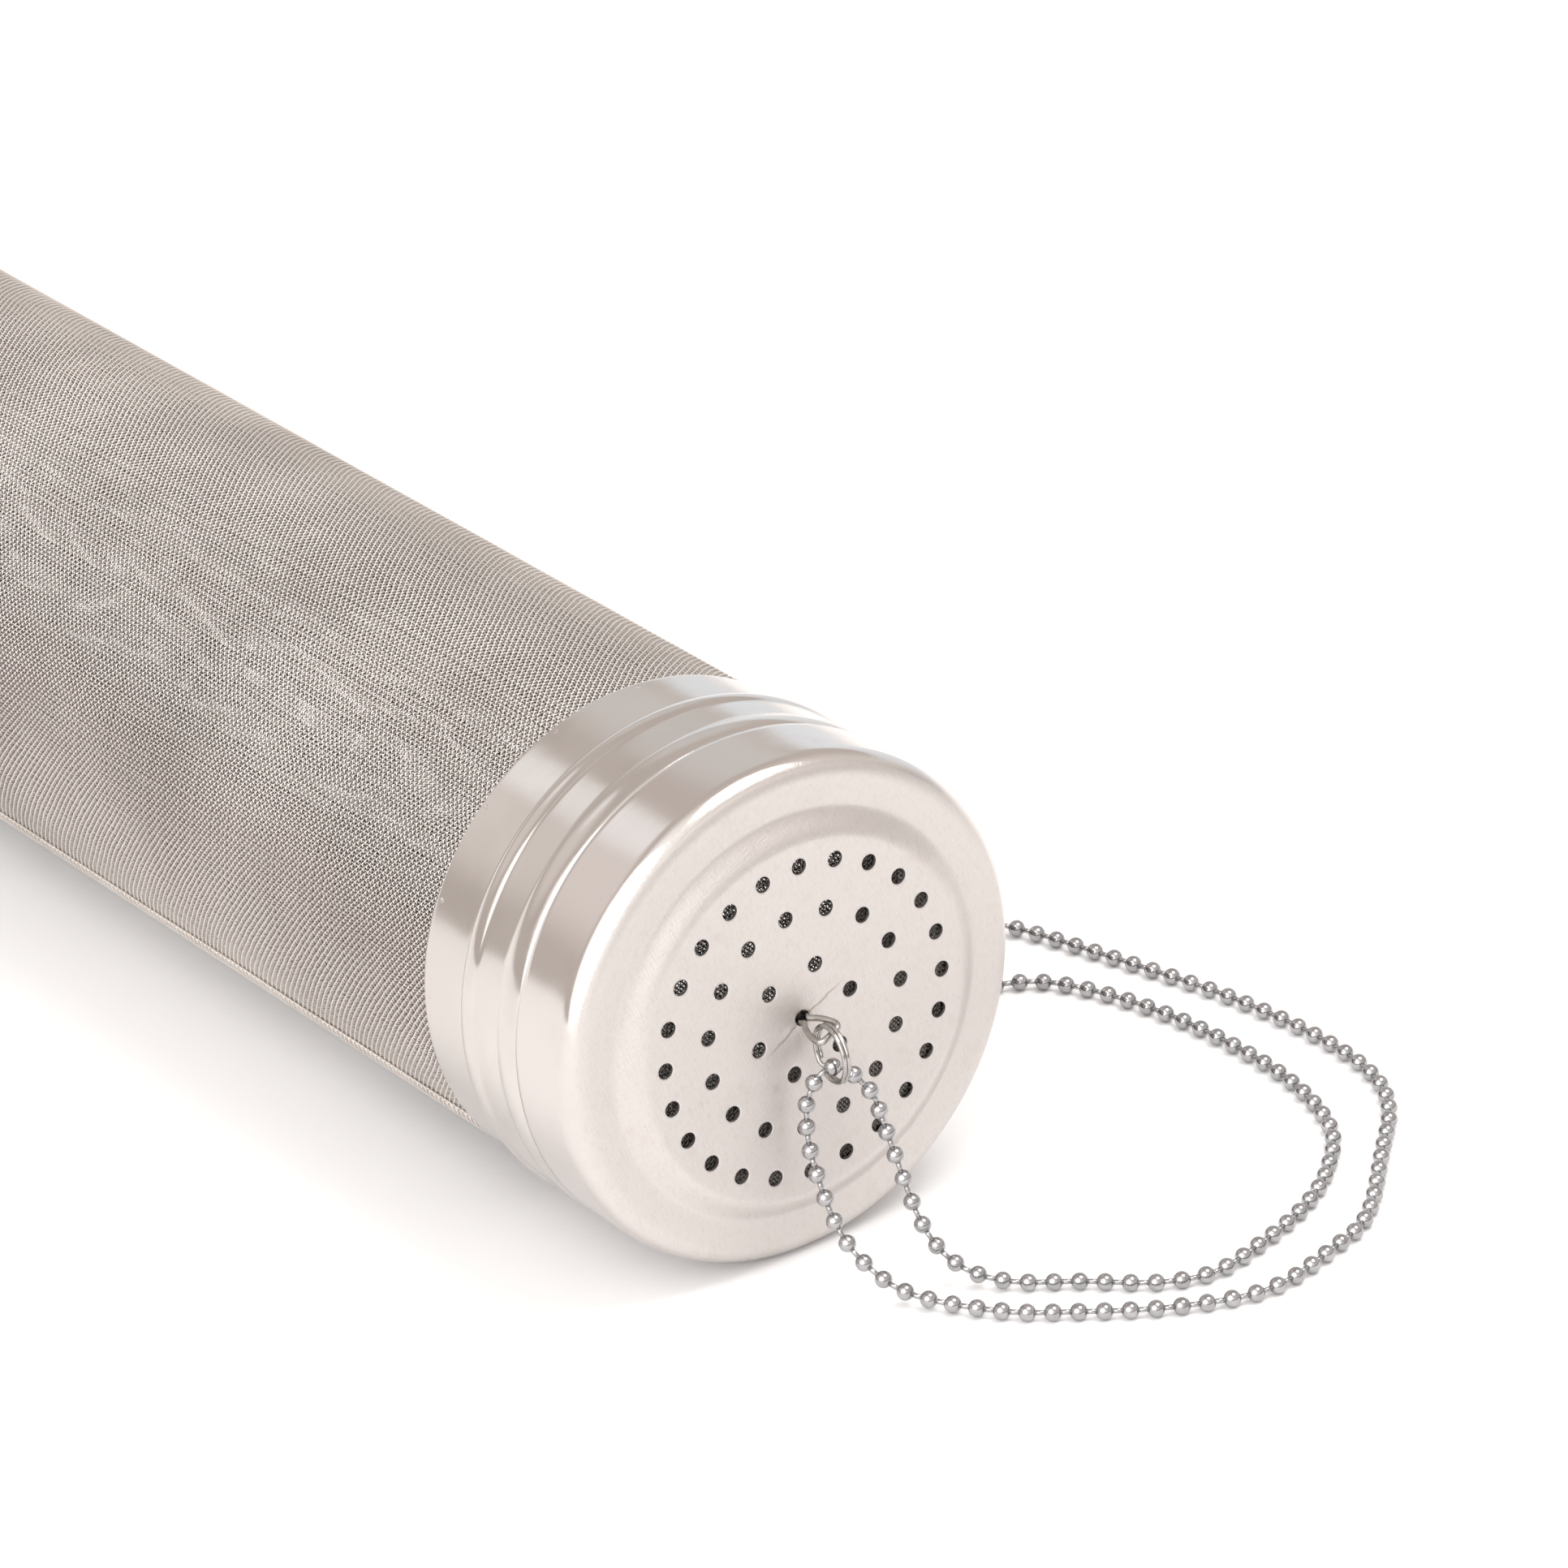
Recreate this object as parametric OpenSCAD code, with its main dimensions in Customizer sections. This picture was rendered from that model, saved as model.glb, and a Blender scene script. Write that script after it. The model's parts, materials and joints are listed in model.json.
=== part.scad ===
// Tea infuser: a long wire-cloth tube with a pressed base cup, a beaded collar
// and a push-on perforated lid that carries an eye, a split ring and a ball chain.
// The tube lies on its side: +X runs along its axis towards the lid, +Z is up,
// and the lid and the base cup rest on the surface z = 0.

/* [Tube] */
// Length from the base to the front of the lid
body_len = 300; // [200:1:360]
// Outside diameter of the wire-cloth tube
tube_d = 69.8; // [68:0.2:76]
// Thickness of the woven wire cloth
cloth_t = 0.45; // [0.3:0.05:0.5]
// Width of the lap where the sheet's two edges are welded
seam_w = 8; // [4:0.5:10]

/* [Collar and base] */
// Thickness of the pressed sheet
sheet_t = 0.4; // [0.3:0.05:0.4]
// Distance from the lid's front to the collar's edge on the cloth
collar_reach = 37.6; // [36:0.1:45]

/* [Lid] */
// Thickness of the lid's sheet
lid_t = 0.5; // [0.4:0.05:0.5]
// Distance from the lid's front to its open edge
lid_depth = 14.6; // [13:0.1:14.6]
// Diameter of the drilled holes
hole_d = 2.3; // [1.5:0.1:2.3]
// Diameter of the outer ring of holes
outer_pcd = 45.2; // [44:0.1:46]
// Diameter of the middle ring of holes
middle_pcd = 31.5; // [28:0.1:34]
// Diameter of the inner ring of holes
inner_pcd = 15.6; // [15:0.1:18]

/* [Hanger] */
// Diameter of the eye's wire
eye_wire = 0.9; // [0.8:0.05:0.9]
// Outside diameter of the split ring
ring_d = 8.44; // [8.2:0.02:8.6]
// Diameter of a chain bead
bead_d = 2.4; // [2:0.1:2.4]

/* [Hidden] */

round_fn = 96;
tube_r = tube_d / 2;
seam_turn = 131;

// Radii of the pressed parts; the stop bead, the base cup's bead and the lid are widest
// and the infuser rests on them
band_r = tube_r + sheet_t;
rib_r = tube_r + 1.15;
rest_r = tube_r + 1.5;
axis_z = rest_r;
push_fit = 0.05;
neck_r = rest_r - lid_t - push_fit;

// Distances of the collar's beads from the lid's front, and of the base cup's from its base
guard_bead = 26.2;
stop_bead = 17.2;
stop_half = 2.1;
cup_bead = 13.6;
cup_open = 26;
cup_recess = 0.9;
cup_round = 3.4;

// Lid: outer rounding, inner edge of the rim and edge of the raised, drilled disc
lid_round = 3.2;
rim_drop = 2.1;
rim_r = rest_r - 6.8;
disc_r = rest_r - 10.8;
eye_hole_r = 1.15;
dimple = 0.5;
outer_turn = 13.2;
middle_turn = 1.2;
// Backs of the lid's cloth disc and of the washer, measured from the lid's front
lid_cloth_x = 1.6;
washer_x = 2.25;

// The eye's cross bar and the ring that hangs on it, measured from the lid's front
bar_x = 5.6;
bar_half = 1.6;
eye_roll = 25;
ring_wire_r = 0.32;
ring_turn_gap = 0.6;
ring_mid_r = ring_d / 2 - ring_wire_r;
ring_drop = 2.8;
ring_yaw = -6;
ring_reach = bar_x + ring_d / 2;

// The box of the tube and the hanger is centred on x = 0
face_x = (body_len - ring_reach) / 2;
base_x = face_x - body_len;

// Chain
bead_r = bead_d / 2;
chain_sides = 8;
wire_sides = 10;
clasp_len = 8.6;
clasp_r = 1.75;
clasp_at = [-60, 61.5, clasp_r];

// Route of the chain from one side of the split ring round to the other,
// x measured from the lid's front
chain_route = [
    [4.0, -3.6, 26.0], [4.8, -3.9, 19.5], [8.5, -3.1, 9.8], [13.0, -1.2, 4.4], [19.0, 1.7, 1.8],
    [29.0, 8.2, 1.3], [35.5, 15.2, 1.25], [43.4, 25.8, 1.25], [48.2, 38.0, 1.25], [45.6, 51.0, 1.25],
    [41.8, 60.0, 1.25], [30.0, 72.3, 1.25], [21.8, 80.3, 1.25], [13.0, 84.8, 1.25], [0.0, 86.2, 1.25],
    [-18.0, 84.4, 1.25], [-38.0, 79.6, 1.25], [-54.5, 74.6, 1.4], [-60.0, 70.0, 1.75],
    [-60.0, 66.5, 1.75], [-60.0, 56.5, 1.75], [-60.0, 53.0, 1.75], [-56.0, 48.8, 1.4],
    [-49.6, 50.4, 1.25], [-44.6, 59.5, 1.25], [-38.0, 68.8, 1.25], [-20.0, 74.8, 1.25], [3.0, 75.8, 1.25],
    [19.5, 71.6, 1.25], [28.7, 63.8, 1.25], [34.6, 54.8, 1.25], [38.2, 44.5, 1.25], [39.9, 35.5, 1.25],
    [37.0, 28.2, 1.25], [30.0, 20.9, 1.25], [23.6, 13.4, 1.45], [17.9, 9.3, 3.2], [13.4, 7.2, 8.3],
    [9.4, 6.1, 18.5], [7.6, 4.9, 26.2]
];
// The short stretch that passes through the split ring and swings with it
bight_route = [
    [4.15, -3.5, 26.8], [4.6, -2.75, 29.4], [5.15, -1.4, 31.1], [5.6, 0.0, 31.6],
    [6.05, 1.4, 31.1], [6.65, 2.85, 29.5], [7.35, 4.5, 27.0]
];
// Both routes are drawn for this height of the axis, and their hanging parts follow it
drawn_axis_z = 36.4;
lying_z = 2;
function hung(p) = p + [0, 0, min(1, max(0, p[2] - lying_z) / 24) * (axis_z - drawn_axis_z)];

// Wire of the eye: x from the lid's front, u across the eye
eye_half = [[-2.7, -3.2], [-2.7, -1.7], [-2.45, -0.75], [-1.7, -0.5], [-0.6, -0.5], [0.3, -0.55],
    [1.5, -1.15], [3.0, -1.6], [4.6, -1.8], [5.45, -1.4]];

// Point between p1 and p2 on the smooth curve through four points in a row
function spline(p0, p1, p2, p3, t) =
    0.5 * (2 * p1 + (p2 - p0) * t + (2 * p0 - 5 * p1 + 4 * p2 - p3) * t * t
    + (3 * p1 - p0 - 3 * p2 + p3) * t * t * t);

function smooth(pts, steps) = let (last = len(pts) - 1) [
    for (i = [0 : last - 1], k = [0 : steps - 1])
        spline(pts[max(i - 1, 0)], pts[i], pts[i + 1], pts[min(i + 2, last)], k / steps),
    pts[last]
];

function reversed(list) = [for (i = [len(list) - 1 : -1 : 0]) list[i]];

function unit(v) = v / norm(v);

function tangent(pts, i) = unit(pts[min(i + 1, len(pts) - 1)] - pts[max(i - 1, 0)]);

// Frames that turn as little as possible from ring to ring
function next_side(side, dir) = unit(side - dir * (side * dir));

function sides_from(pts, i, side) = i == len(pts) ? [] :
    let (s = next_side(side, tangent(pts, i))) concat([s], sides_from(pts, i + 1, s));

// Closed round tube of radius r along the points
module swept_tube(pts, r, sides, first_side) {
    count = len(pts);
    side = sides_from(pts, 0, first_side);
    rings = [
        for (i = [0 : count - 1])
            let (up = cross(tangent(pts, i), side[i]))
            for (k = [0 : sides - 1])
                let (a = 360 * k / sides)
                pts[i] + r * (cos(a) * side[i] + sin(a) * up)
    ];
    walls = [
        for (i = [0 : count - 2], k = [0 : sides - 1])
            let (a = i * sides + k, b = i * sides + (k + 1) % sides)
            [a, a + sides, b + sides, b]
    ];
    start_cap = [for (k = [0 : sides - 1]) k];
    end_cap = [for (k = [sides - 1 : -1 : 0]) (count - 1) * sides + k];
    polyhedron(points = rings, faces = concat([start_cap], walls, [end_cap]), convexity = 6);
}

// Arc of points about [x, r]
function arc(x, r, radius, from, to, steps) =
    [for (i = [0 : steps]) let (a = from + (to - from) * i / steps)
        [x + radius * cos(a), r + radius * sin(a)]];

// Solid of revolution about the tube's axis from points [x, r]
module lathe(profile) {
    translate([0, 0, axis_z])
        rotate([0, 90, 0])
            rotate_extrude($fn = round_fn)
                polygon([for (p = profile) [p[1], p[0]]]);
}

// Sheet of even thickness t whose outer side is the given outline
function sheet_outline(outer, t) = concat(outer, [for (p = reversed(outer)) p - [0, t]]);

module mesh_tube() {
    front = face_x - guard_bead - 2.7;
    back = base_x + cup_bead + 3.4;
    color([0.66, 0.63, 0.60]) {
        lathe([[back, tube_r], [front, tube_r], [front, tube_r - cloth_t], [back, tube_r - cloth_t]]);
        // second layer of cloth at the welded lap
        translate([0, 0, axis_z])
            rotate([seam_turn, 0, 0])
                intersection() {
                    rotate([0, 90, 0])
                        translate([0, 0, back])
                            difference() {
                                cylinder(h = front - back, r = tube_r - cloth_t + 0.02, $fn = round_fn);
                                translate([0, 0, -1])
                                    cylinder(h = front - back + 2, r = tube_r - 2 * cloth_t, $fn = round_fn);
                            }
                    translate([back - 1, -seam_w / 2, 0])
                        cube([front - back + 2, seam_w, tube_r + 1]);
                }
    }
}

function bead_line(x, half, rise, base_r, steps) =
    let (radius = (half * half + rise * rise) / (2 * rise), span = asin(half / radius))
    arc(x, base_r + rise - radius, radius, 90 + span, 90 - span, steps);

module collar() {
    edge = face_x - collar_reach;
    neck_front = face_x - 7;
    lead_in = 0.9;
    outer = concat(
        [[edge, band_r], [face_x - guard_bead - 2.3, band_r], [face_x - guard_bead - 1.7, band_r + 0.2]],
        bead_line(face_x - guard_bead, 1.5, 0.3, rib_r, 8),
        bead_line(face_x - stop_bead, stop_half, rest_r - rib_r, rib_r, 10),
        [[face_x - 14.95, neck_r + 0.02], [face_x - 14.8, neck_r], [neck_front, neck_r]],
        arc(neck_front, neck_r - lead_in, lead_in, 75, 15, 4)
    );
    color([0.80, 0.79, 0.78]) lathe(sheet_outline(outer, sheet_t));
}

module base_cup() {
    open_edge = base_x + cup_open;
    wall_t = cup_round - 2.9;
    floor_x = base_x + cup_recess;
    outer = concat(
        [[open_edge, band_r], [base_x + cup_bead + 3, band_r], [base_x + cup_bead + 2.4, band_r + 0.2]],
        reversed(bead_line(base_x + cup_bead, stop_half, rest_r - rib_r, rib_r, 10)),
        arc(base_x + cup_round, rib_r - cup_round, cup_round, 90, 180, 8),
        [[base_x, 25.0], [floor_x, 23.6], [floor_x, 0]]
    );
    inner = concat(
        [[floor_x + wall_t, 0], [floor_x + wall_t, 23.8], [base_x + wall_t, 25.2]],
        arc(base_x + cup_round, rib_r - cup_round, cup_round - wall_t, 180, 90, 8),
        [[base_x + cup_bead + 2, rib_r - wall_t], [base_x + cup_bead + 3, tube_r], [open_edge, tube_r]]
    );
    color([0.80, 0.79, 0.78]) lathe(concat(outer, inner));
}

module hole_ring(pcd, count, start) {
    for (i = [0 : count - 1])
        rotate([start + 360 * i / count, 0, 0])
            translate([face_x - 2, pcd / 2, 0])
                rotate([0, 90, 0])
                    cylinder(h = 4, d = hole_d, $fn = 24);
}

module lid_shell() {
    edge = face_x - lid_depth;
    round_x = face_x - rim_drop - lid_round;
    step = [
        [-rim_drop, rim_r], [-1.85, rim_r - 0.7], [-1.05, rim_r - 2.0], [-0.25, rim_r - 3.3], [0, disc_r]
    ];
    centre = [[0, 6.2], [-dimple, eye_hole_r]];
    outer = concat(
        [[edge, rest_r]],
        arc(round_x, rest_r - lid_round, lid_round, 90, 0, 10),
        [for (p = concat(step, centre)) [face_x + p[0], p[1]]]
    );
    inner = concat(
        [for (p = reversed(concat(step, centre)))
            [face_x + p[0] - lid_t, p[1] > disc_r ? p[1] - 0.3 : p[1]]],
        arc(round_x, rest_r - lid_round, lid_round - lid_t, 0, 90, 10),
        [[edge, rest_r - lid_t]]
    );
    color([0.86, 0.84, 0.82]) difference() {
        lathe(concat(outer, inner));
        translate([0, 0, axis_z]) {
            hole_ring(outer_pcd, 24, outer_turn);
            hole_ring(middle_pcd, 15, middle_turn);
            hole_ring(inner_pcd, 6, outer_turn);
        }
    }
}

module lid_mesh() {
    color([0.45, 0.44, 0.42])
        translate([face_x - lid_cloth_x, 0, axis_z])
            rotate([0, 90, 0])
                difference() {
                    cylinder(h = cloth_t, r = disc_r - 0.6, $fn = round_fn);
                    translate([0, 0, -1]) cylinder(h = cloth_t + 2, r = eye_hole_r + 0.05, $fn = round_fn);
                }
}

module lid_retainer() {
    front = [[-1.65, disc_r - 1.5], [-1.65, disc_r - 0.3], [-2.71, rim_r - 1.2], [-2.71, rest_r - 3.4]];
    color([0.74, 0.73, 0.72])
        lathe(concat(
            [for (p = front) [face_x + p[0], p[1]]],
            [for (p = reversed(front)) [face_x + p[0] - sheet_t, p[1]]]
        ));
}

module eye_washer() {
    color([0.74, 0.73, 0.72])
        translate([face_x - washer_x, 0, axis_z])
            rotate([0, 90, 0])
                difference() {
                    cylinder(h = 0.6, r = 4, $fn = 64);
                    translate([0, 0, -1]) cylinder(h = 3, r = eye_hole_r + 0.05, $fn = 64);
                }
}

module hanger_eye() {
    across = [0, cos(eye_roll), sin(eye_roll)];
    start = [face_x, 0, axis_z];
    lower = [for (p = eye_half) start + [p[0], 0, 0] + p[1] * across];
    bar = [for (u = [-0.6, 0.6]) start + [bar_x, 0, 0] + u * across];
    upper = [for (p = reversed(eye_half)) start + [p[0], 0, 0] - p[1] * across];
    color([0.78, 0.76, 0.74])
        swept_tube(smooth(concat(lower, bar, upper), 3), eye_wire / 2, wire_sides, [1, 0, 0]);
}

module split_ring() {
    color([0.78, 0.76, 0.74])
        translate([face_x + bar_x, 0, axis_z - ring_drop])
            rotate([0, 0, ring_yaw])
                rotate([90, 0, 0])
                    for (side = [-1, 1])
                        translate([0, 0, side * ring_turn_gap / 2])
                            rotate_extrude($fn = 48)
                                translate([ring_mid_r, 0])
                                    circle(r = ring_wire_r, $fn = 16);
}

module chain_bight() {
    color([0.82, 0.82, 0.83])
        translate([face_x, 0, 0])
            swept_tube([for (p = bight_route) hung(p)], bead_r, chain_sides, [1, 0, 0]);
}

module ball_chain() {
    // one more ring of points between each two of the route
    color([0.82, 0.82, 0.83])
        translate([face_x, 0, 0])
            swept_tube(smooth([for (p = chain_route) hung(p)], 2), bead_r, chain_sides, [1, 0, 0]);
}

module chain_clasp() {
    color([0.70, 0.70, 0.71])
        translate([face_x, 0, 0] + clasp_at)
            rotate([90, 0, 0])
                difference() {
                    cylinder(h = clasp_len, r = clasp_r, center = true, $fn = 32);
                    cylinder(h = clasp_len + 2, r = bead_r + 0.05, center = true, $fn = 32);
                }
}

mesh_tube();
collar();
base_cup();
lid_shell();
lid_mesh();
lid_retainer();
eye_washer();
hanger_eye();
split_ring();
chain_bight();
ball_chain();
chain_clasp();
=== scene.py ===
# %% [markdown]
# A tea infuser: a long tube of woven steel wire with a pressed base, a beaded collar and a push-on
# perforated lid. A small wire eye in the lid carries a split ring and a loop of ball chain.
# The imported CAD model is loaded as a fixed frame, and each cell below makes one of its pieces as it looks.

# %% Load the frame
import json
import math

import bpy
import numpy as np
from mathutils import Matrix, Vector, noise
from mathutils.geometry import delaunay_2d_cdt

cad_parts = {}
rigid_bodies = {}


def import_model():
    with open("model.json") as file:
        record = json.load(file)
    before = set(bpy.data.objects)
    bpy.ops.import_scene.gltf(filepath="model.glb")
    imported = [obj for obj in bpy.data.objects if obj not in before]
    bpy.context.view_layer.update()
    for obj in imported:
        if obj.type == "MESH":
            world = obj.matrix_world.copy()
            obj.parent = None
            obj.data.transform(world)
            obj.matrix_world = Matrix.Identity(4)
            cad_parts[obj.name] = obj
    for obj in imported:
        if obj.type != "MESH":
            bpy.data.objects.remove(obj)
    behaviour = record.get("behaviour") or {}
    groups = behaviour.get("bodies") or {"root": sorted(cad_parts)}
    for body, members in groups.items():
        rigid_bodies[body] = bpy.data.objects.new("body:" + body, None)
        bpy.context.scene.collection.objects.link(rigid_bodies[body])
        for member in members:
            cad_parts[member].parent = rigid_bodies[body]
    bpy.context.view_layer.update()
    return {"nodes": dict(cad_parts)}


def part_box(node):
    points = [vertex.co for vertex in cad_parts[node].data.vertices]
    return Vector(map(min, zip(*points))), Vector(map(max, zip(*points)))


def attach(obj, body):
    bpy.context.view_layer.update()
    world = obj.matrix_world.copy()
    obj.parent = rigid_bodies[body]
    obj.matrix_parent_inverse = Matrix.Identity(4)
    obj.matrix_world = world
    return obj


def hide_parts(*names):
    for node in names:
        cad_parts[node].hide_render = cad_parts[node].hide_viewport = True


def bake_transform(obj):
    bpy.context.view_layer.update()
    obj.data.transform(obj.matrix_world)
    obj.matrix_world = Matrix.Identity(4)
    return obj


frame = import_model()
MM = 0.001

# %% [markdown]
# Every place is worked out from the CAD boxes: the front of the lid, the base, and the tube's axis.
# The rest of the script speaks of x as millimetres from the lid's front and r as millimetres from the axis,
# which is how a sheet-metal maker would draw these turned parts.

# %% Places taken from the frame
lid_low, lid_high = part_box("lid_shell")
cup_low, cup_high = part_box("base_cup")
cloth_low, cloth_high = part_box("mesh_tube")
collar_low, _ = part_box("collar")
face_x = lid_high.x
base_x = cup_low.x
axis_z = (lid_low.z + lid_high.z) / 2
rest_r = (lid_high.z - lid_low.z) / 2 / MM
tube_r = (cloth_high.z - cloth_low.z) / 2 / MM
lid_depth = (lid_high.x - lid_low.x) / MM
collar_reach = (face_x - collar_low.x) / MM
cup_depth = (cup_high.x - cup_low.x) / MM
print(f"lid {lid_depth:.1f} mm deep, {2 * rest_r:.1f} mm across; cloth {2 * tube_r:.1f} mm across")

# %% [markdown]
# The camera stands in front of the lid and above it, a long way off with a long lens, so the tube hardly
# narrows. It is placed by an aim point, an azimuth, an elevation, a distance and a small roll.

# %% Camera
VIEW_AZIMUTH, VIEW_ELEVATION, VIEW_ROLL = 55.71, 27.03, -4.07
VIEW_DISTANCE = 1.1398
VIEW_AIM = Vector((face_x - 0.0121, 0.0075, axis_z + 0.0278))


def add_object(name, data):
    made = bpy.data.objects.new(name, data)
    bpy.context.scene.collection.objects.link(made)
    return made


def make_camera():
    az, el, roll = (math.radians(a) for a in (VIEW_AZIMUTH, VIEW_ELEVATION, VIEW_ROLL))
    back = Vector((math.sin(az) * math.cos(el), -math.cos(az) * math.cos(el), math.sin(el)))
    level = Vector((math.cos(az), math.sin(az), 0))
    upward = back.cross(level)
    right = math.cos(roll) * level + math.sin(roll) * upward
    data = bpy.data.cameras.new("camera")
    data.sensor_width = 36
    data.lens = 198.44
    data.clip_start, data.clip_end = 0.05, 20
    camera = add_object("camera", data)
    camera.matrix_world = Matrix((right, back.cross(right), back)).transposed().to_4x4()
    camera.location = VIEW_AIM + VIEW_DISTANCE * back
    bpy.context.scene.camera = camera
    print("camera at", tuple(round(v, 4) for v in camera.location))


make_camera()

# %% [markdown]
# Node graphs, for materials and for Geometry Nodes alike, are written as sums. A `Signal` is one output of a
# node, and adding or multiplying signals adds the Math node that does it. `Graph.node` makes any other node
# from its type, settings and inputs.

# %% Graph and shader helpers


class Signal:
    """One output socket of a graph that can be added, multiplied and compared."""

    def __init__(self, graph, socket):
        self.graph, self.socket = graph, socket

    def away_from(self, value):
        """Distance from a value, always positive."""
        return self.graph.maths("ABSOLUTE", self - value)

    def __add__(self, other):
        return self.graph.maths("ADD", self, other)

    def __radd__(self, other):
        return self.graph.maths("ADD", other, self)

    def __sub__(self, other):
        return self.graph.maths("SUBTRACT", self, other)

    def __rsub__(self, other):
        return self.graph.maths("SUBTRACT", other, self)

    def __mul__(self, other):
        return self.graph.maths("MULTIPLY", self, other)

    def __truediv__(self, other):
        return self.graph.maths("DIVIDE", self, other)

    def clamped(self, low, high):
        """0 below low, 1 above high, and a smooth rise between them."""
        return self.graph.node("ShaderNodeMapRange", {"interpolation_type": "SMOOTHSTEP"},
                               {"Value": self, "From Min": low, "From Max": high})


class Graph:
    """A node tree that is being written."""

    def node(self, kind, settings=None, inputs=None, output=0):
        made = self.tree.nodes.new(kind)
        for name, value in (settings or {}).items():
            setattr(made, name, value)
        for name, value in (inputs or {}).items():
            if isinstance(value, Signal):
                self.tree.links.new(value.socket, made.inputs[name])
            else:
                made.inputs[name].default_value = value
        return Signal(self, made.outputs[output]) if made.outputs else made

    def maths(self, operation, *values):
        return self.node("ShaderNodeMath", {"operation": operation}, dict(enumerate(values)))


class Shader(Graph):
    """The nodes of a material or of the world."""

    def __init__(self, tree):
        self.tree = tree
        tree.nodes.clear()

    def place(self):
        """Object coordinates in millimetres, as (x, y, z) signals."""
        here = self.node("ShaderNodeTexCoord", output=3)
        parts = [self.node("ShaderNodeSeparateXYZ", None, {0: here}, i) for i in range(3)]
        return parts[0] * 1000, parts[1] * 1000, parts[2] * 1000

    def here(self):
        """The same coordinates as one vector."""
        return self.vector(*self.place())

    def grain(self, vector, scale, detail=2.0, rough=0.5):
        """Noise from 0 to 1 at a scale in features a millimetre."""
        return self.node("ShaderNodeTexNoise", None,
                         {"Vector": vector, "Scale": scale, "Detail": detail, "Roughness": rough})

    def vector(self, x, y, z):
        return self.node("ShaderNodeCombineXYZ", None, {0: x, 1: y, 2: z})

    def mix(self, factor, first, second):
        return self.node("ShaderNodeMix", {"data_type": "RGBA"}, {"Factor": factor, 6: first, 7: second}, 2)

    def bump(self, height, distance, strength=1.0):
        return self.node("ShaderNodeBump", None,
                         {"Height": height, "Distance": distance, "Strength": strength})


def metal(name, colour, roughness, normal=None, **fixed):
    """Metal material; colour and roughness are numbers or functions of the shader."""
    material = bpy.data.materials.new(name)
    material.use_nodes = True
    shader = Shader(material.node_tree)
    inputs = {"Metallic": 1.0, **fixed}
    for socket, value in (("Base Color", colour), ("Roughness", roughness), ("Normal", normal)):
        made = value(shader) if callable(value) else value
        if made is not None:
            inputs[socket] = made
    surface = shader.node("ShaderNodeBsdfPrincipled", None, inputs)
    shader.node("ShaderNodeOutputMaterial", None, {"Surface": surface})
    return material


def wear(shader, scale, low, high, dark, light):
    """Slow change of tone between two colours."""
    patches = shader.grain(shader.here(), scale, 4.0, 0.6)
    return shader.mix(patches.clamped(low, high), (*dark, 1), (*light, 1))


# %% [markdown]
# The sheet parts are stainless steel. The spun walls of collar, base and lid are polished, with hairlines
# that run round them; the lid's face is satin from handling, with fine scratches that cross each other.
# Noise that is stretched along one direction gives the hairlines, and it drives both roughness and bump.
# The woven wires carry painted shade: their light, unevenly worn tone turns near black deep in the weave
# and on the inner layer, so their colour follows the distance from the tube's axis.

# %% Sheet and wire materials
WELDS, WELD_SIZE, WELD_IN = 16, 0.42, 1.1
CREASE_TURN = math.radians(29)
HOOP_PITCH = 0.535 * MM


def turn_about_axis(shader):
    """Angle about the tube's axis, from the top."""
    x, y, z = shader.place()
    return shader.maths("ARCTAN2", y, z - axis_z / MM)


def round_hairlines(shader):
    """Hairlines that run round the tube's axis: fine along x, long round the wall."""
    x, y, z = shader.place()
    return shader.grain(shader.vector(x * 14, turn_about_axis(shader) * 1.6, 0.0), 1.0, 3.0, 0.65)


def from_axis(shader):
    """Distance from the tube's axis, in millimetres."""
    x, y, z = shader.place()
    return shader.node("ShaderNodeVectorMath", {"operation": "LENGTH"},
                       {0: shader.vector(0.0, y, z - axis_z / MM)}, 1)


def inside_wall(shader):
    """1 on the inner faces of the collar and the base cup, which were never polished and get a painted
    shade.
    """
    x, y, z = shader.place()
    return (1 - from_axis(shader).clamped(tube_r + 0.05, tube_r + 0.2)) * (x - base_x / MM).clamped(1.2, 1.6)


def polished_roughness(shader):
    smears = shader.grain(shader.here(), 0.09, 3.0)
    outside = 0.07 + round_hairlines(shader) * 0.05 + smears.clamped(0.45, 0.75) * 0.06
    return outside + inside_wall(shader) * 0.35


def polished_colour(shader):
    steel = wear(shader, 0.05, 0.4, 0.7, (0.565, 0.532, 0.507), (0.61, 0.577, 0.552))
    # Painted shade: the inner faces of collar and cup are darkened to near black.
    return shader.mix(inside_wall(shader), steel, (0.16, 0.15, 0.14, 1))


def weld_spots(shader):
    """1 in the small spots where the cloth is welded to the collar and to the cup."""
    x, y, z = shader.place()
    turn = turn_about_axis(shader) * (WELDS / (2 * math.pi)) + 0.37
    around = shader.maths("FRACT", turn).away_from(0.5) * (2 * math.pi * tube_r / WELDS)
    at_collar = x.away_from(face_x / MM - collar_reach + WELD_IN)
    at_cup = x.away_from(base_x / MM + cup_depth - WELD_IN)
    along = shader.maths("MINIMUM", at_collar, at_cup)
    away = shader.maths("SQRT", along * along + around * around)
    return 1 - away.clamped(WELD_SIZE * 0.3, WELD_SIZE)


def polished_normal(shader):
    x, y, z = shader.place()
    ripple = shader.grain(shader.vector(x * 0.6, y, z), 0.11, 2.0)
    height = round_hairlines(shader) * 0.35 + ripple * 6.0 - weld_spots(shader) * 5.0
    return shader.bump(height, 0.00002, 0.7)


def scratches(shader):
    """Short fine scratches in two directions across the lid's face."""
    x, y, z = shader.place()
    first = shader.grain(shader.vector(x, y * 4.4 + z * 1.2, z * 0.5 - y * 0.14), 1.0, 4.0, 0.7)
    second = shader.grain(shader.vector(x + 7.0, z * 4.0 - y * 1.7, y * 0.5 + z * 0.2), 1.0, 4.0, 0.7)
    return first, second


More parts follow.
